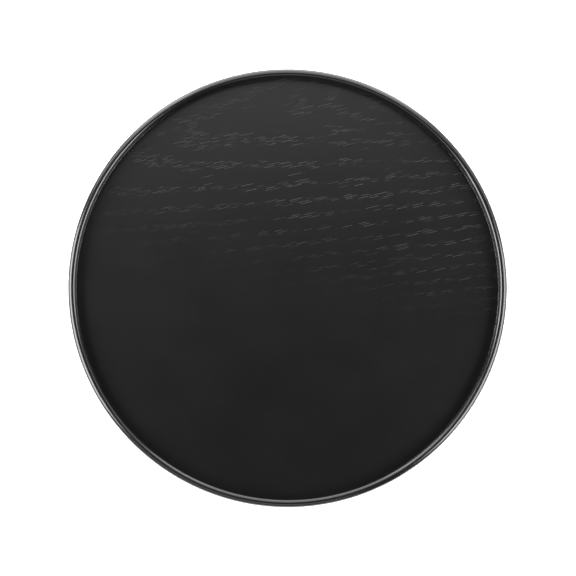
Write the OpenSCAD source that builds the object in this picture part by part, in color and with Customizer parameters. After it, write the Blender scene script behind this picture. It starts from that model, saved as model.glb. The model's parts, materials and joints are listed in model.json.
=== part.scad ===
// Round serving tray: a flat plywood floor held in a laminated bentwood hoop with a rounded top.
// Five plies make the floor panel. Four steam-bent strips, each closed on itself by a scarf
// joint, are glued up into the hoop. The innermost strip stands in a rebate, where the panel's face
// veneer stops short of its core, and the other three close round the panel's edge.
// Origin: centre of the resting face. +Z is up. Millimetres.

/* [Overall] */
// Outer diameter of the hoop
tray_d = 380; // [300:5:450]
// Height from the resting face to the crown of the rim
tray_h = 20; // [16:0.5:40]

/* [Plies of the floor panel] */
// Thickness of the ash face veneer
face_t = 0.8; // [0.5:0.1:1]
// Thickness of each of the three core plies
core_t = 0.9; // [0.7:0.1:1.1]
// Thickness of the ash backing veneer
backing_t = 0.6; // [0.5:0.1:1]

/* [Hoop] */
// Thickness of each bent strip
strip_t = 1.7; // [1.2:0.1:1.9]
// Rounding of the hoop's lower outside edge
hoop_foot_r = 0.7; // [0.3:0.1:1]

/* [Scarf joints] */
// Length of a scarf for each unit of strip thickness
scarf_slope = 12; // [8:1:16]
// Width of the glue line in a scarf
glue_line = 0.1; // [0.05:0.05:0.2]
// Depth of the blunt step at each end of a scarf, as a share of the strip's thickness
nib_share = 0.25; // [0.15:0.05:0.35]

/* [Hidden] */
$fn = 240;
CORE_PLIES = 3;
STRIPS = 4;

// Where the first strip is scarfed, in degrees from +X, and the turn from one scarf to the next
FIRST_SCARF = 30;
SCARF_TURN = 360 / STRIPS;
SCARF_STEPS = 8;

panel_t = backing_t + CORE_PLIES * core_t + face_t;
hoop_t = STRIPS * strip_t;
hoop_inside_r = tray_d / 2 - hoop_t;

// The core and the backing run out under the innermost strip, and the face veneer stops at it
core_r = hoop_inside_r + strip_t;
rebate_z = panel_t - face_t;

// The top of the hoop is one full round, as wide as the hoop is thick
rim_r = hoop_t / 2;
rim_centre = [tray_d / 2 - rim_r, tray_h - rim_r];

// One ply of the floor panel, from its underside up
module ply(low, thickness, r = core_r) {
    translate([0, 0, low]) cylinder(r = r, h = thickness);
}

// Half section of all that the rounding of the rim leaves standing
module under_rim_round() {
    translate(rim_centre) circle(r = rim_r);
    square([tray_d / 2, rim_centre[1]]);
}

// Half section of all that the rounding of the hoop's lower outside edge leaves standing
module above_foot_round() {
    inside = tray_d / 2 - hoop_foot_r;
    translate([inside, hoop_foot_r]) circle(r = hoop_foot_r);
    square([inside, tray_h]);
    translate([0, hoop_foot_r]) square([tray_d / 2, tray_h]);
}

// Half section of bent strip number i: number 0 stands in the rebate
module strip_section(i) {
    low = i == 0 ? rebate_z : 0;
    intersection() {
        translate([hoop_inside_r + i * strip_t, low]) square([strip_t, tray_h - low]);
        under_rim_round();
        above_foot_round();
    }
}

// A point of the plan, so far out from the circle of radius r and so far along it
function on_circle(r, out, along) =
    (r + out) * [cos(along / r * 180 / PI), sin(along / r * 180 / PI)];

// Plan of the glue line that closes a strip: a long slant with a blunt step at each end
module scarf_line(r) {
    half_run = scarf_slope * strip_t / 2;
    slant = (0.5 - nib_share) * strip_t;
    half_line = glue_line / 2;
    nib_end = half_run + glue_line;
    outer_side = [for (k = [0:SCARF_STEPS]) let (share = 1 - 2 * k / SCARF_STEPS)
                      on_circle(r, slant * share + half_line, -half_run * share)];
    inner_side = [for (k = [SCARF_STEPS:-1:0]) let (share = 1 - 2 * k / SCARF_STEPS)
                      on_circle(r, slant * share - half_line, -half_run * share)];
    polygon(concat([on_circle(r, strip_t, -nib_end), on_circle(r, strip_t, -half_run)], outer_side,
                   [on_circle(r, half_line - slant, nib_end), on_circle(r, -strip_t, nib_end),
                    on_circle(r, -strip_t, half_run)], inner_side,
                   [on_circle(r, slant - half_line, -nib_end)]));
}

// Bent strip number i, counted outwards
module hoop_strip(i) {
    difference() {
        rotate_extrude() strip_section(i);
        rotate([0, 0, FIRST_SCARF + i * SCARF_TURN])
            translate([0, 0, -1])
                linear_extrude(height = tray_h + 2)
                    scarf_line(hoop_inside_r + (i + 0.5) * strip_t);
    }
}

module face_veneer() {
    color([0.05, 0.05, 0.05]) ply(rebate_z, face_t, hoop_inside_r);
}

module upper_cross_ply() {
    color([0.13, 0.11, 0.09]) ply(backing_t + 2 * core_t, core_t);
}

module centre_ply() {
    color([0.17, 0.14, 0.11]) ply(backing_t + core_t, core_t);
}

module lower_cross_ply() {
    color([0.13, 0.11, 0.09]) ply(backing_t, core_t);
}

module backing_veneer() {
    color([0.06, 0.06, 0.06]) ply(0, backing_t);
}

module hoop_inner_strip() {
    color([0.09, 0.09, 0.09]) hoop_strip(0);
}

module hoop_second_strip() {
    color([0.11, 0.11, 0.11]) hoop_strip(1);
}

module hoop_third_strip() {
    color([0.09, 0.09, 0.09]) hoop_strip(2);
}

module hoop_outer_strip() {
    color([0.08, 0.08, 0.08]) hoop_strip(3);
}

face_veneer();
upper_cross_ply();
centre_ply();
lower_cross_ply();
backing_veneer();
hoop_inner_strip();
hoop_second_strip();
hoop_third_strip();
hoop_outer_strip();
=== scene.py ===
import json
import math

import bpy
from mathutils import Matrix, Vector, noise


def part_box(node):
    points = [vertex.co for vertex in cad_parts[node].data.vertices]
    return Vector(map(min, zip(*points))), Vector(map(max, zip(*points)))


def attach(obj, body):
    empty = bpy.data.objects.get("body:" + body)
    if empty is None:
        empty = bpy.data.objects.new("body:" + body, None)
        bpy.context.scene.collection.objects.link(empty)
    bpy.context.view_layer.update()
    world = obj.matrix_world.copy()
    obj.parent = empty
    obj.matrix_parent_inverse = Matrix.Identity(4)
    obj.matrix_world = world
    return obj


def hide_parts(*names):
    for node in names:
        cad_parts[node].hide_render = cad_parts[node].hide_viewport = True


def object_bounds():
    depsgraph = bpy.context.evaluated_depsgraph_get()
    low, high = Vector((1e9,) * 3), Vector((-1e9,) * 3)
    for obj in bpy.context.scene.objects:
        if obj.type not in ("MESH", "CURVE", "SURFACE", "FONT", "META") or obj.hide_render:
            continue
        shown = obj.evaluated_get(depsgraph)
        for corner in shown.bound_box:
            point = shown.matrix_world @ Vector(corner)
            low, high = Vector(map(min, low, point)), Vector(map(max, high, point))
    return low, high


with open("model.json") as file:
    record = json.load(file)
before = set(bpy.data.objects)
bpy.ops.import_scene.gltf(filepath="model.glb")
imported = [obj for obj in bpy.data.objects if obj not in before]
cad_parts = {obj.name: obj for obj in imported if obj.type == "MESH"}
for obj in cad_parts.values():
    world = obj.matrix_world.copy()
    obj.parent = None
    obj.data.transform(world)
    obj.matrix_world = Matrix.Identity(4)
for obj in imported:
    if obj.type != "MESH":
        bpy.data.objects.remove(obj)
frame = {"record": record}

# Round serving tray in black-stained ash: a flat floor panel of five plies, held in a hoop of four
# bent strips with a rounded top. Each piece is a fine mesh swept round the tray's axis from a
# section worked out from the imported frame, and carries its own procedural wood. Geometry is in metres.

MM = 0.001
BODY = "root"

# ---------------------------------------------------------------------------------------------
# Sizes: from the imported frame, and a few small dimensions of the CAD design that it doesn't state
# ---------------------------------------------------------------------------------------------

STRIP_T = 1.7 * MM
HOOP_FOOT_R = 0.7 * MM

STRIP_NAMES = ("hoop_inner_strip", "hoop_second_strip", "hoop_third_strip", "hoop_outer_strip")
SCARF_SLOPE = 12
SCARF_HALF_RUN = SCARF_SLOPE * STRIP_T / 2
SCARF_NIB = 0.25 * STRIP_T
GLUE_LINE = 0.1 * MM
FIRST_SCARF = math.radians(30)
SCARF_TURN = math.radians(90)

cad_low, cad_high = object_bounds()
mounts = {mount["name"]: mount for mount in frame["record"]["mounts"]}
floor_z = mounts["serving_floor"]["pos_m"][2]
tray_r = cad_high.x
tray_h = cad_high.z
rebate_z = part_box("face_veneer")[0].z

rim_r = len(STRIP_NAMES) * STRIP_T / 2
rim_centre = Vector((tray_r - rim_r, tray_h - rim_r))
hoop_inside_r = tray_r - 2 * rim_r

# Fineness of the meshes. The panel's rings are radii in millimetres.
SEGMENTS = 720
BEAD_SEGMENTS = 1440
RIM_STEPS = 14
FOOT_STEPS = 8
SCARF_STEPS = 12
BEAD_STEPS = 8
PANEL_RINGS = (20, 50, 80, 110, 140, 165, 180)
SHARP_ANGLE = math.radians(28)

# Small easings of the real edges
SEAM_DIP = 0.012 * MM
SEAM_RUN = 0.06 * MM
PLY_EASE = 0.1 * MM
# Bead of lacquer in the corner between the floor and the hoop. Its size wanders by a share of
# itself, over a long and a short wave, in millimetres round the tray.
BEAD_R = 0.26 * MM
BEAD_JITTER = 0.5
BEAD_LONG_WAVE = 3.5
BEAD_SHORT_WAVE = 1.3
BEAD_SHORT_SHARE = 0.7
BEAD_SHIFT = Vector((7, 3, 0))
# What is left of the bead where the strip's inner face runs along a scarf's glue line
LEAST_BEAD_R = GLUE_LINE / 4


def rim_arc(outer, inner):
    """The hoop's rounded top between two radii, with its corners eased at both seams."""
    start = math.acos(max(-1, min(1, (outer - rim_centre.x) / rim_r)))
    end = math.acos(max(-1, min(1, (inner - rim_centre.x) / rim_r)))
    points = []
    for step in range(RIM_STEPS + 1):
        share = 0.5 - 0.5 * math.cos(math.pi * step / RIM_STEPS)
        angle = start + (end - start) * share
        to_seam = min(angle - start, end - angle) * rim_r
        radius = rim_r - SEAM_DIP * max(0, 1 - to_seam / SEAM_RUN) ** 2
        points.append(rim_centre + radius * Vector((math.cos(angle), math.sin(angle))))
    return points


# ---------------------------------------------------------------------------------------------
# Mesh building
# ---------------------------------------------------------------------------------------------


def place(point, angle):
    """A half-section point turned round the tray's axis."""
    return (point.x * math.cos(angle), point.x * math.sin(angle), point.y)


def new_piece(name, points, faces, grain, replaced, material):
    """Makes a smooth-shaded piece that rides on the tray and stands for one CAD node.
    grain gives each point's place in the flattened wood, in millimetres."""
    mesh = bpy.data.meshes.new(name)
    mesh.from_pydata(points, [], faces)
    attribute = mesh.attributes.new("grain", "FLOAT_VECTOR", "POINT")
    attribute.data.foreach_set("vector", [value for place_mm in grain for value in place_mm])
    mesh.shade_smooth()
    mesh.set_sharp_from_angle(angle=SHARP_ANGLE)
    mesh.materials.append(material)
    mesh.validate()
    piece = bpy.data.objects.new(name, mesh)
    bpy.context.scene.collection.objects.link(piece)
    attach(piece, BODY)
    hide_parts(replaced)
    return piece


def outline_lengths(outline):
    """Distance along an open outline of each of its points, measured from the nearer end."""
    run = [0.0]
    for before, after in zip(outline, outline[1:]):
        run.append(run[-1] + (after - before).length)
    return [min(length, run[-1] - length) for length in run]


def disc_mesh(outline):
    """Points, faces and flattened places of a full turn. The outline starts and ends on the axis."""
    points, grain, faces = [], [], []
    count = len(outline) - 2
    lengths = outline_lengths(outline)
    for turn in range(SEGMENTS):
        angle = math.tau * turn / SEGMENTS
        for point, length in zip(outline[1:-1], lengths[1:-1]):
            points.append(place(point, angle))
            grain.append((length / MM * math.cos(angle), length / MM * math.sin(angle), 0.0))
    bottom, top = len(points), len(points) + 1
    points += [place(outline[0], 0.0), place(outline[-1], 0.0)]
    grain += [(0.0, 0.0, 0.0)] * 2
    for turn in range(SEGMENTS):
        here, there = turn * count, (turn + 1) % SEGMENTS * count
        faces.append((bottom, there, here))
        for k in range(count - 1):
            faces.append((here + k, there + k, there + k + 1, here + k + 1))
        faces.append((here + count - 1, there + count - 1, top))
    return points, faces, grain


def band_mesh(stations, outline_between):
    """Points, faces and flattened places of an open strip. Each station is an angle and the
    radii of the strip's inner and outer faces there."""
    points, grain, faces = [], [], []
    for angle, inner, outer in stations:
        outline = outline_between(angle, inner, outer)
        across = 0.0
        for k, point in enumerate(outline):
            points.append(place(point, angle))
            across += (point - outline[k - 1]).length if k else 0.0
            grain.append((angle * tray_r / MM, across / MM, 0.0))
    count = len(outline)
    for turn in range(len(stations) - 1):
        here, there = turn * count, (turn + 1) * count
        for k in range(count):
            after = (k + 1) % count
            faces.append((here + k, there + k, there + after, here + after))
    faces.append(tuple(range(count)))
    faces.append(tuple(reversed(range(len(points) - count, len(points)))))
    return points, faces, grain


# ---------------------------------------------------------------------------------------------
# Sections of the pieces
# ---------------------------------------------------------------------------------------------


def ply_outline(low, high, ply_r):
    """A ply of the floor panel between two heights, with its edge slightly eased."""
    rings = [ring * MM for ring in PANEL_RINGS]
    edge = ply_r - PLY_EASE
    points = [Vector((radius, low)) for radius in [0.0] + rings + [edge]]
    points += [Vector((ply_r, low + PLY_EASE)), Vector((ply_r, high - PLY_EASE))]
    return points + [Vector((radius, high)) for radius in [edge] + rings[::-1] + [0.0]]


def strip_outline(inner, outer, foot):
    """A bent strip between two radii: its foot, from the inside out, then the rim's round."""
    points = []
    for step in range(FOOT_STEPS + 1):
        radius = inner + (outer - inner) * math.sin(math.pi / 2 * step / FOOT_STEPS)
        past = max(0, radius - (tray_r - HOOP_FOOT_R))
        climb = HOOP_FOOT_R - math.sqrt(max(0, HOOP_FOOT_R**2 - past**2))
        points.append(Vector((radius, foot + climb)))
    return points + rim_arc(outer, inner)


def bead_radius(angle):
    """Size of the lacquer bead, which runs a little unevenly round the tray."""
    spot = Vector((math.cos(angle), math.sin(angle), 0)) * tray_r / MM
    long_wave = noise.noise(spot / BEAD_LONG_WAVE)
    short_wave = noise.noise(spot / BEAD_SHORT_WAVE + BEAD_SHIFT)
    return BEAD_R * (1 + BEAD_JITTER * (long_wave + BEAD_SHORT_SHARE * short_wave))


def inner_strip_outline(angle, inner, outer):
    """The innermost strip, which stands in the panel's rebate, and the lacquer bead at its foot."""
    on_face = inner < hoop_inside_r + GLUE_LINE
    bead = bead_radius(angle) if on_face else LEAST_BEAD_R
    points = strip_outline(inner, outer, rebate_z)
    for step in range(BEAD_STEPS + 1):
        turn = math.pi / 2 * step / BEAD_STEPS
        offset = Vector((math.cos(turn) - 1, 1 - math.sin(turn)))
        points.append(Vector((inner, floor_z)) + bead * offset)
    points.append(Vector((inner, floor_z)))
    return points


def outer_strip_outline(angle, inner, outer):
    """One of the three strips that close round the panel's edge."""
    return strip_outline(inner, outer, 0.0)


def strip_stations(number, segments):
    """The stations of one strip, which closes on itself in a long scarf with blunt tips."""
    inner = hoop_inside_r + number * STRIP_T
    outer = inner + STRIP_T
    middle = (inner + outer) / 2
    slant = STRIP_T / 2 - SCARF_NIB
    scarf_angle = FIRST_SCARF + number * SCARF_TURN

    half_line = GLUE_LINE / 2
    runs = [SCARF_HALF_RUN * (2 * step / SCARF_STEPS - 1) for step in range(SCARF_STEPS + 1)]

    def glue(run):
        """Radius of the glue line's middle at a distance past the scarf's middle."""
        return middle - slant * run / SCARF_HALF_RUN

    stations = [(scarf_angle + run / middle, glue(run) + half_line, outer) for run in runs]
    start = scarf_angle + (SCARF_HALF_RUN + GLUE_LINE) / middle
    end = scarf_angle + math.tau - (SCARF_HALF_RUN + GLUE_LINE) / middle
    stations.append((start - half_line / middle, glue(SCARF_HALF_RUN) + half_line, outer))
    for step in range(segments + 1):
        stations.append((start + (end - start) * step / segments, inner, outer))
    for run in runs:
        stations.append((scarf_angle + math.tau + run / middle, inner, glue(run) - half_line))
    return stations


# ---------------------------------------------------------------------------------------------
# Materials
# ---------------------------------------------------------------------------------------------

# Lengths on the wood are in millimetres.

# Fibres of the face veneer, from +X towards +Y, and how far they sway
FIBRE_ANGLE = math.radians(13)
FIBRE_SWAY = 0.2
# Long open pores: the spacing of their rows, the cell of a row that holds one pore, half the width
# of one, and how far one strays from its row
PORE_ROW = 1.65
PORE_CELL = 14.0
PORE_HALF = 0.15
PORE_STRAY = 0.4
# Half of a long pore's length, as a share of its cell: the least, and what chance adds. Its ends
# run out over a share of the cell too.
PORE_LEAST_HALF = 0.24
PORE_MORE_HALF = 0.26
PORE_TAPER = 0.12
# Part of a long pore's half width that is at its full depth, and the depth of the shallowest pore
PORE_BOTTOM = 0.35
PORE_SHALLOWEST = 0.2
# Paleness of a long pore, a painted glint, and how the pores fade: their depth and painted glint follow
# y plus a share of x, from the first value, where most have faded, to the second, and so grow towards
# the top and right, where the lights glint
PORE_GLINT_TONE = 0.03
PORE_FADE_SLANT = 0.24
PORE_FADE_FROM = -20.0
PORE_FADE_TO = 95.0
PORE_FADE_LEAST = 0.03
# Short pores, in shares of their cell's size: to where they have their full depth, and their edge.
# Their own size goes from the least by as much as chance adds.
SHORT_PORE_BOTTOM = 0.04
SHORT_PORE_EDGE = 0.14
SHORT_PORE_LEAST = 0.75
SHORT_PORE_MORE = 0.5

# Growth rings of the flat-sawn face: the axis of their nested arches, and the tip of the arch
# that rings are counted from, measured from the tray's middle
RING_AXIS = math.radians(11)
ARCH_TIP = (-89.0, 137.0)
ARCH_BREADTH = 88.0
RING_OUTSIDE = 9.3
RING_INSIDE = 2.9
# How the counted arch lies across its axis: shares of the distance behind its tip and ahead of it,
# and of the square of the distance ahead
ARCH_BEHIND = 0.15
ARCH_AHEAD = 0.02
ARCH_AHEAD_SQUARED = 0.0002
# The rings well outside the arch are straighter: a share of the distance along, and a start. The
# first goes over into the second between two distances outside a leg that leans by LEG_LEAN.
FAR_LEAN = 0.077
FAR_START = -4.8
LEG_LEAN = -0.25
LEG_FROM = 14.0
LEG_TO = 26.0
# Waviness of the rings: how much, and over what lengths along x and y
RING_WAVE = 2.4
RING_WAVE_SIZE = (45.0, 30.0)
# Added to the count of rings, so that it is never negative
RING_SHIFT = 40.0
# Early wood, in shares of a ring from its middle: to where it is full, and where it ends
EARLY_FULL = 0.12
EARLY_END = 0.2
# Share of the cells that hold a long pore: in early wood, in late wood and on the island
EARLY_SHARE = 0.9
LATE_SHARE = 0.02
ISLAND_SHARE = 0.9
# Rings inside the counted arch hold no pores until this far along the axis. What counts as inside
# is given in rings.
INNER_FROM = 104.0
INNER_TO = 116.0
INSIDE_FULL = -0.7
INSIDE_END = -0.45
# Oval island, where the saw grazed the top of a ring: its middle, its half breadths, and its soft
# edge in shares of them, squared
ISLAND = (10.0, 160.0)
ISLAND_HALF = (11.0, 14.0)
ISLAND_FULL = 0.75
ISLAND_END = 1.05

# Specular level of the satin lacquer on the floor and the underside
FLAT_GLOSS = 0.22
# Depth of the relief on the flat faces, and on the strips and the core
FLAT_RELIEF = 0.06 * MM
EDGE_RELIEF = 0.03 * MM


class Graph:
    """One material's nodes. Each method adds nodes, and returns an output of the last one."""

    def __init__(self, name):
        self.material = bpy.data.materials.new(name)
        self.material.use_nodes = True
        self.tree = self.material.node_tree
        self.tree.nodes.clear()

    def add(self, kind, **settings):
        node = self.tree.nodes.new(kind)
        for key, value in settings.items():
            setattr(node, key, value)
        return node

    def feed(self, socket, value):
        """Links an output to a socket, or sets the socket to a plain value."""
        if isinstance(value, bpy.types.NodeSocket):
            self.tree.links.new(value, socket)
        else:
            socket.default_value = value

    def math(self, operation, *values):
        node = self.add("ShaderNodeMath", operation=operation)
        for socket, value in zip(node.inputs, values):
            self.feed(socket, value)
        return node.outputs["Value"]

    def line(self, value, slope, start):
        """Slope times value, plus start."""
        return self.math("MULTIPLY_ADD", value, slope, start)

    def total(self, start, *parts):
        """Start, plus each part's value times its weight."""
        for value, weight in parts:
            start = self.math("ADD", start, self.math("MULTIPLY", value, weight))
        return start

    def ease(self, value, low, high, start=0.0, end=1.0):
        """Smooth step of value, from start at low to end at high."""
        node = self.add("ShaderNodeMapRange", interpolation_type="SMOOTHSTEP")
        for socket, number in zip(node.inputs, (value, low, high, start, end)):
            self.feed(socket, number)
        return node.outputs["Result"]

    def mix(self, share, first, second):
        """First where share is 0, and second where it is 1."""
        node = self.add("ShaderNodeMix", data_type="FLOAT")
        self.feed(node.inputs[0], share)
        self.feed(node.inputs["A"], first)
        self.feed(node.inputs["B"], second)
        return node.outputs["Result"]

    def vector(self, x, y, z=0.0):
        node = self.add("ShaderNodeCombineXYZ")
        for socket, value in zip(node.inputs, (x, y, z)):
            self.feed(socket, value)
        return node.outputs["Vector"]

    def grey(self, value):
        """A neutral colour of a changing value."""
        return self.vector(value, value, value)

    def parts(self, vector):
        node = self.add("ShaderNodeSeparateXYZ")
        self.feed(node.inputs["Vector"], vector)
        return node.outputs["X"], node.outputs["Y"], node.outputs["Z"]

    def grain(self):
        """Place in the flattened wood, in millimetres."""
        node = self.add("ShaderNodeAttribute", attribute_type="GEOMETRY", attribute_name="grain")
        x, y, unused = self.parts(node.outputs["Vector"])
        return x, y

    def turned(self, x, y, angle):
        """Coordinates along and across a direction at an angle from x towards y."""
        cosine, sine = math.cos(angle), math.sin(angle)
        along = self.math("ADD", self.math("MULTIPLY", x, cosine), self.math("MULTIPLY", y, sine))
        across = self.math("SUBTRACT", self.math("MULTIPLY", y, cosine), self.math("MULTIPLY", x, sine))
        return along, across

    def scaled(self, x, y, size):
        """A place counted in sizes along x and y."""
        return self.math("DIVIDE", x, size[0]), self.math("DIVIDE", y, size[1])

    def noise(self, x, y, size, seed=0.0, detail=2.0):
        """Smooth noise from 0 to 1 that changes over a size along x and y."""
        node = self.add("ShaderNodeTexNoise")
        self.feed(node.inputs["Vector"], self.vector(*self.scaled(x, y, size), seed))
        node.inputs["Scale"].default_value = 1.0
        node.inputs["Detail"].default_value = detail
        return node.outputs["Fac"]

    def cells(self, x, y, size):
        """Scattered cells of a size: distance to the nearest one, and its three random numbers."""
        node = self.add("ShaderNodeTexVoronoi", voronoi_dimensions="2D", feature="F1")
        self.feed(node.inputs["Vector"], self.vector(*self.scaled(x, y, size)))
        node.inputs["Scale"].default_value = 1.0
        return node.outputs["Distance"], self.parts(node.outputs["Color"])

    def chances(self, x, y):
        """Three random numbers from 0 to 1 for a pair of values."""
        node = self.add("ShaderNodeTexWhiteNoise", noise_dimensions="2D")
        self.feed(node.inputs["Vector"], self.vector(x, y))
        return self.parts(node.outputs["Color"])

    def bump(self, height, distance):
        node = self.add("ShaderNodeBump")
        node.inputs["Distance"].default_value = distance
        self.feed(node.inputs["Height"], height)
        return node.outputs["Normal"]

    def finish(self, shader):
        """Makes the shader the material's surface."""
        output = self.add("ShaderNodeOutputMaterial")
        self.tree.links.new(shader.outputs["BSDF"], output.inputs["Surface"])
        return self.material

    def wood(self, tone, roughness, normal, specular=0.5):
        """Finishes the material as lacquered wood of a grey tone."""
        shader = self.add("ShaderNodeBsdfPrincipled")
        shader.inputs["Specular IOR Level"].default_value = specular
        self.feed(shader.inputs["Base Color"], self.grey(tone))
        self.feed(shader.inputs["Roughness"], roughness)
        self.feed(shader.inputs["Normal"], normal)
        return self.finish(shader)


def straight_part(g, u, v):
    """How far the counted arch and the rings outside it lie from a plain arch, at a place along
    and across the ring axis."""
    ahead = g.math("MAXIMUM", u, 0.0)
    behind = g.math("MINIMUM", u, 0.0)
    ahead_squared = g.math("MULTIPLY", ahead, ahead)
    near = g.total(
        0.0, (behind, ARCH_BEHIND), (ahead, ARCH_AHEAD), (ahead_squared, ARCH_AHEAD_SQUARED)
    )
    far = g.line(u, FAR_LEAN, FAR_START)
    out_of_arch = g.line(u, LEG_LEAN, g.math("ABSOLUTE", v))
    return g.mix(g.ease(out_of_arch, LEG_FROM, LEG_TO), near, far)


def ring_count(g, x, y):
    """Number of growth rings out from the counted arch, and the place along the ring axis."""
    from_tip = g.math("SUBTRACT", x, ARCH_TIP[0]), g.math("SUBTRACT", y, ARCH_TIP[1])
    u, v = g.turned(*from_tip, RING_AXIS)
    reach = g.math("SQRT", g.math("ADD", g.math("MULTIPLY", v, v), ARCH_BREADTH**2))
    outward = g.math("SUBTRACT", reach, ARCH_BREADTH)
    wave = g.line(g.noise(x, y, RING_WAVE_SIZE, seed=3.7), RING_WAVE, -RING_WAVE / 2)
    depth = g.math("ADD", g.math("SUBTRACT", outward, straight_part(g, u, v)), wave)
    rings_out = g.math("DIVIDE", g.math("MAXIMUM", depth, 0.0), RING_OUTSIDE)
    rings_in = g.math("DIVIDE", g.math("MINIMUM", depth, 0.0), RING_INSIDE)
    return g.math("ADD", rings_out, rings_in), u


def pore_share(g, x, y):
    """Share of the pore cells that hold an open pore: high in each ring's early wood."""
    rings, u = ring_count(g, x, y)
    from_ring = g.math("PINGPONG", g.math("ADD", rings, RING_SHIFT), 0.5)
    band = g.ease(from_ring, EARLY_FULL, EARLY_END, EARLY_SHARE, LATE_SHARE)
    inner_start = g.ease(u, INNER_FROM, INNER_TO)
    not_inside = g.ease(rings, INSIDE_FULL, INSIDE_END)
    band = g.math("MULTIPLY", band, g.math("MAXIMUM", inner_start, not_inside))
    from_island = g.math("SUBTRACT", x, ISLAND[0]), g.math("SUBTRACT", y, ISLAND[1])
    off_x, off_y = g.scaled(*from_island, ISLAND_HALF)
    off = g.math("ADD", g.math("MULTIPLY", off_x, off_x), g.math("MULTIPLY", off_y, off_y))
    return g.math("MAXIMUM", band, g.ease(off, ISLAND_FULL, ISLAND_END, ISLAND_SHARE, 0.0))


def short_pores(g, along, across, size, share):
    """Depth from 0 to 1 of short pores, scattered in cells of a size. Share is the part of the
    cells that hold one."""
    distance, chances = g.cells(along, across, size)
    swell = g.line(chances[1], SHORT_PORE_MORE, SHORT_PORE_LEAST)
    reach = g.math("DIVIDE", distance, swell)
    groove = g.ease(reach, SHORT_PORE_BOTTOM, SHORT_PORE_EDGE, 1.0, 0.0)
    return g.math("MULTIPLY", groove, g.math("LESS_THAN", chances[0], share))


def long_pores(g, along, across):
    """Depth from 0 to 1 of long straight pores, which lie in rows and break off at random."""
    row = g.math("ROUND", g.math("DIVIDE", across, PORE_ROW))
    shift = g.math("MULTIPLY", g.chances(row, 0.5)[0], PORE_CELL)
    spot = g.math("DIVIDE", g.math("ADD", along, shift), PORE_CELL)
    cell = g.math("FLOOR", spot)
    middle_along = g.math("SUBTRACT", g.line(cell, PORE_CELL, PORE_CELL / 2), shift)
    middle_across = g.math("MULTIPLY", row, PORE_ROW)
    chance, longness, side = g.chances(row, cell)
    share = pore_share(g, *g.turned(middle_along, middle_across, -FIBRE_ANGLE))
    open_here = g.math("LESS_THAN", chance, share)
    from_middle = g.math("ABSOLUTE", g.math("SUBTRACT", g.math("SUBTRACT", spot, cell), 0.5))
    half_length = g.line(longness, PORE_MORE_HALF, PORE_LEAST_HALF)
    past_end = g.math("SUBTRACT", from_middle, half_length)
    stray = g.line(side, PORE_STRAY, -PORE_STRAY / 2)
    off = g.math("ABSOLUTE", g.math("SUBTRACT", g.math("SUBTRACT", across, middle_across), stray))
    groove = g.math("MULTIPLY", g.ease(off, PORE_BOTTOM * PORE_HALF, PORE_HALF, 1.0, 0.0), open_here)
    groove = g.math("MULTIPLY", groove, g.ease(past_end, -PORE_TAPER, 0.0, 1.0, 0.0))
    depth = g.line(g.chances(cell, row)[0], 1 - PORE_SHALLOWEST, PORE_SHALLOWEST)
    return g.math("MULTIPLY", groove, depth)


def flat_sawn_ash(name, color, roughness):
    """Black-stained flat-sawn ash with open pores under a thin satin lacquer."""
    g = Graph(name)
    x, y = g.grain()
    along, across = g.turned(x, y, FIBRE_ANGLE)
    sway = g.noise(along, across, size=(14.0, 5.0), seed=1.3)
    across = g.line(sway, FIBRE_SWAY, across)
    # Long pores deepen and take more painted glint towards the top and right, where the lights glint in
    # them
    pore_depth_and_glint = g.ease(g.line(x, PORE_FADE_SLANT, y), PORE_FADE_FROM, PORE_FADE_TO, PORE_FADE_LEAST, 1.0)
    large = g.math("MULTIPLY", long_pores(g, along, across), pore_depth_and_glint)
    fine = short_pores(g, along, across, size=(2.6, 0.34), share=0.35)
    fibre = g.noise(along, across, size=(9.0, 0.25), seed=5.1, detail=3.0)
    lacquer = g.noise(x, y, size=(1.6, 1.6), seed=9.4, detail=1.0)
    cloud = g.noise(x, y, size=(60.0, 35.0), seed=2.2)
    height = g.total(0.0, (large, -1.0), (fine, -0.05), (fibre, 0.02), (lacquer, 0.03))
    matt = g.total(roughness - 0.05, (cloud, 0.06), (fibre, 0.04), (large, 0.1))
    # Long pores painted paler: a painted glint, strongest towards the top and right
    tone = g.total(0.75 * color, (fibre, 0.5 * color), (large, PORE_GLINT_TONE))
    return g.wood(tone, matt, g.bump(height, FLAT_RELIEF), specular=FLAT_GLOSS)


def bent_strip_ash(name, seed):
    """The hoop's strips: straight grain along the strip under a fuller, smoother lacquer."""
    g = Graph(name)
    along, across = g.grain()
    shifted = g.math("ADD", along, seed * 31.0)
    fine = short_pores(g, shifted, across, size=(7.0, 0.5), share=0.25)
    fibre = g.noise(along, across, size=(18.0, 0.22), seed=seed, detail=3.0)
    lacquer = g.noise(along, across, size=(2.5, 2.5), seed=seed, detail=1.0)
    height = g.total(0.0, (fine, -0.3), (fibre, 0.12), (lacquer, 0.25))
    matt = g.total(0.1, (fibre, 0.04), (lacquer, 0.03))
    tone = g.line(fibre, 0.004, 0.002)
    return g.wood(tone, matt, g.bump(height, EDGE_RELIEF))


def core_ply(name, seed, lengthwise):
    """A core ply, which the hoop and the veneers close in. Its fibres run along the face veneer's
    grain where lengthwise is true, and across it otherwise."""
    g = Graph(name)
    x, y = g.grain()
    if lengthwise:
        x, y = y, x
    fibre = g.noise(x, y, size=(0.3, 12.0), seed=seed, detail=3.0)
    pits = short_pores(g, x, y, size=(0.5, 0.5), share=0.3)
    height = g.total(0.0, (fibre, 0.3), (pits, -0.4))
    matt = g.line(fibre, 0.07, 0.2)
    tone = g.line(fibre, 0.01, 0.007)
    return g.wood(tone, matt, g.bump(height, EDGE_RELIEF))


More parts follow.
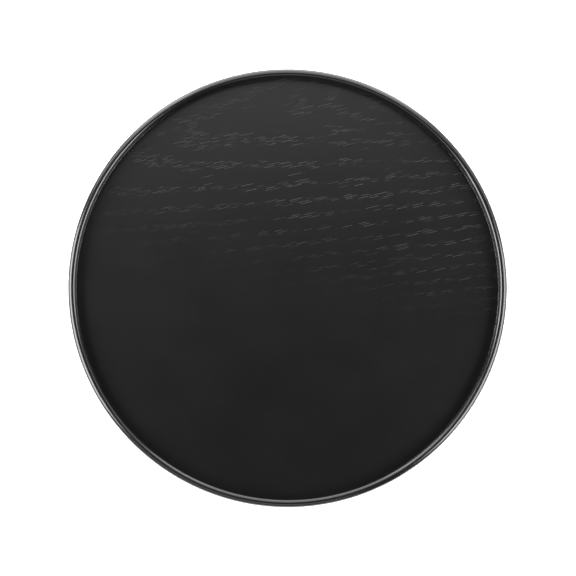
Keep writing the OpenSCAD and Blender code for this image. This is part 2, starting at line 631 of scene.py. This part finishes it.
def studio_white():
    """The pale floor: matt white, with a little light of its own so that it stays even."""
    g = Graph("studio_white")
    x, y, unused = g.parts(g.add("ShaderNodeTexCoord").outputs["Object"])
    mottle = g.noise(x, y, size=(1 / 3, 1 / 3))
    shader = g.add("ShaderNodeBsdfPrincipled")
    shader.inputs["Roughness"].default_value = 0.9
    shader.inputs["Specular IOR Level"].default_value = 0.0
    shader.inputs["Emission Color"].default_value = (1, 1, 1, 1)
    shader.inputs["Emission Strength"].default_value = 0.9
    g.feed(shader.inputs["Base Color"], g.grey(g.line(mottle, 0.02, 0.8)))
    return g.finish(shader)


# ---------------------------------------------------------------------------------------------
# Camera, light and floor
# ---------------------------------------------------------------------------------------------

CAMERA_DISTANCE = 5.0
CAMERA_LEAN = math.radians(3.9)
CAMERA_BEARING = math.radians(255)
LENS = 361.3
SENSOR_WIDTH = 36.0
NEAR_CLIP = 0.05
AIM = Vector((0.0003, -0.0003, 0.0165))

# Softboxes left, right, behind and in front: name, bearing and elevation in degrees, distance,
# width and height in metres, and radiance
LIGHTS = (
    ("left_low", 186, 21, 0.75, 0.62, 0.19, 10.0),
    ("left_high", 186, 41, 0.75, 0.62, 0.36, 15.0),
    ("right_low", -14, 21, 0.75, 0.69, 0.19, 7.5),
    ("right_high", -14, 41, 0.75, 0.69, 0.36, 12.0),
    ("back_low", 93, 14, 0.5, 0.8, 0.24, 7.0),
    ("back_high", 92, 50, 0.7, 0.6, 0.44, 3.0),
    ("over_back", 92, 68, 0.8, 0.6, 0.22, 2.0),
    ("front_fill", 255, 42, 1.0, 1.0, 0.5, 1.6),
    ("right_back", 45, 30, 0.8, 0.6, 0.36, 3.2),
    ("left_back", 132, 28, 0.6, 0.34, 0.28, 6.0),
)
SURROUNDINGS = 0.05

# The studio floor, which lies just under the tray
FLOOR_R = 8
FLOOR_SIDES = 96
FLOOR_DROP = 0.2 * MM


def make_camera():
    """The camera looks down from far off, leaning slightly to the front, with +Y up the picture."""
    data = bpy.data.cameras.new("camera")
    data.lens = LENS
    data.sensor_width = SENSOR_WIDTH
    data.clip_start = NEAR_CLIP
    camera = bpy.data.objects.new("camera", data)
    bpy.context.scene.collection.objects.link(camera)
    level = Vector((math.cos(CAMERA_BEARING), math.sin(CAMERA_BEARING), 0))
    back = level * math.sin(CAMERA_LEAN) + Vector((0, 0, math.cos(CAMERA_LEAN)))
    right = Vector((0, 1, 0)).cross(back).normalized()
    turned = Matrix((right, back.cross(right), back)).transposed().to_4x4()
    camera.matrix_world = Matrix.Translation(AIM + back * CAMERA_DISTANCE) @ turned
    bpy.context.scene.camera = camera


def softbox(name, azimuth, elevation, distance, width, height, radiance):
    """A rectangular soft light at a bearing from +X towards +Y, facing the tray."""
    data = bpy.data.lights.new(name, "AREA")
    data.shape = "RECTANGLE"
    data.size = width
    data.size_y = height
    data.energy = radiance * math.pi * width * height
    light = bpy.data.objects.new(name, data)
    bpy.context.scene.collection.objects.link(light)
    bearing, rise = math.radians(azimuth), math.radians(elevation)
    light.location = distance * Vector(
        (math.cos(rise) * math.cos(bearing), math.cos(rise) * math.sin(bearing), math.sin(rise))
    )
    light.rotation_euler = (-light.location).to_track_quat("-Z", "Y").to_euler()
    light.visible_camera = False


def make_world():
    """Dim surroundings for the tray to reflect, and a pale backdrop for the camera."""
    world = bpy.data.worlds.new("studio")
    bpy.context.scene.world = world
    world.use_nodes = True
    tree = world.node_tree
    tree.nodes.clear()
    dim = tree.nodes.new("ShaderNodeBackground")
    dim.inputs["Strength"].default_value = SURROUNDINGS
    dim.inputs["Color"].default_value = (1, 1, 1, 1)
    pale = tree.nodes.new("ShaderNodeBackground")
    pale.inputs["Color"].default_value = (1, 1, 1, 1)
    rays = tree.nodes.new("ShaderNodeLightPath")
    mixed = tree.nodes.new("ShaderNodeMixShader")
    output = tree.nodes.new("ShaderNodeOutputWorld")
    tree.links.new(rays.outputs["Is Camera Ray"], mixed.inputs[0])
    tree.links.new(dim.outputs[0], mixed.inputs[1])
    tree.links.new(pale.outputs[0], mixed.inputs[2])
    tree.links.new(mixed.outputs[0], output.inputs["Surface"])


def make_floor():
    """A large round sweep that the tray stands on."""
    points = [(0.0, 0.0, 0.0)]
    faces = []
    for side in range(FLOOR_SIDES):
        angle = math.tau * side / FLOOR_SIDES
        points.append((FLOOR_R * math.cos(angle), FLOOR_R * math.sin(angle), 0.0))
        faces.append((0, 1 + side, 1 + (side + 1) % FLOOR_SIDES))
    mesh = bpy.data.meshes.new("studio_floor")
    mesh.from_pydata(points, [], faces)
    mesh.materials.append(studio_white())
    floor = bpy.data.objects.new("studio_floor", mesh)
    floor.location.z = -FLOOR_DROP
    bpy.context.scene.collection.objects.link(floor)


# ---------------------------------------------------------------------------------------------
# The tray
# ---------------------------------------------------------------------------------------------


def make_panel():
    """The five plies of the floor panel, from the face veneer down."""
    face = flat_sawn_ash("black_ash_face", color=0.0015, roughness=0.33)
    back = flat_sawn_ash("black_ash_back", color=0.003, roughness=0.42)
    rows = (
        ("face_veneer_skin", "face_veneer", "black_ash_face", face),
        ("upper_cross_ply_sheet", "upper_cross_ply", "core_ply", core_ply("core_ply_upper", 1.0, False)),
        ("centre_ply_sheet", "centre_ply", "core_ply", core_ply("core_ply_centre", 2.0, True)),
        ("lower_cross_ply_sheet", "lower_cross_ply", "core_ply", core_ply("core_ply_lower", 3.0, False)),
        ("backing_veneer_skin", "backing_veneer", "black_ash_back", back),
    )
    for name, node, slot, material in rows:
        low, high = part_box(node)
        points, faces, grain = disc_mesh(ply_outline(low.z, high.z, high.x))
        new_piece(name, points, faces, grain, node, material)


def make_hoop():
    """The four bent strips round the panel."""
    for number, node in enumerate(STRIP_NAMES):
        material = bent_strip_ash("black_ash_rim_" + str(number), seed=4.0 + number)
        stations = strip_stations(number, SEGMENTS if number else BEAD_SEGMENTS)
        outline_between = outer_strip_outline if number else inner_strip_outline
        points, faces, grain = band_mesh(stations, outline_between)
        new_piece(node + "_bent", points, faces, grain, node, material)


make_camera()
make_world()
for light in LIGHTS:
    softbox(*light)
make_floor()
make_panel()
make_hoop()

bpy.context.scene.view_settings.view_transform = "Standard"
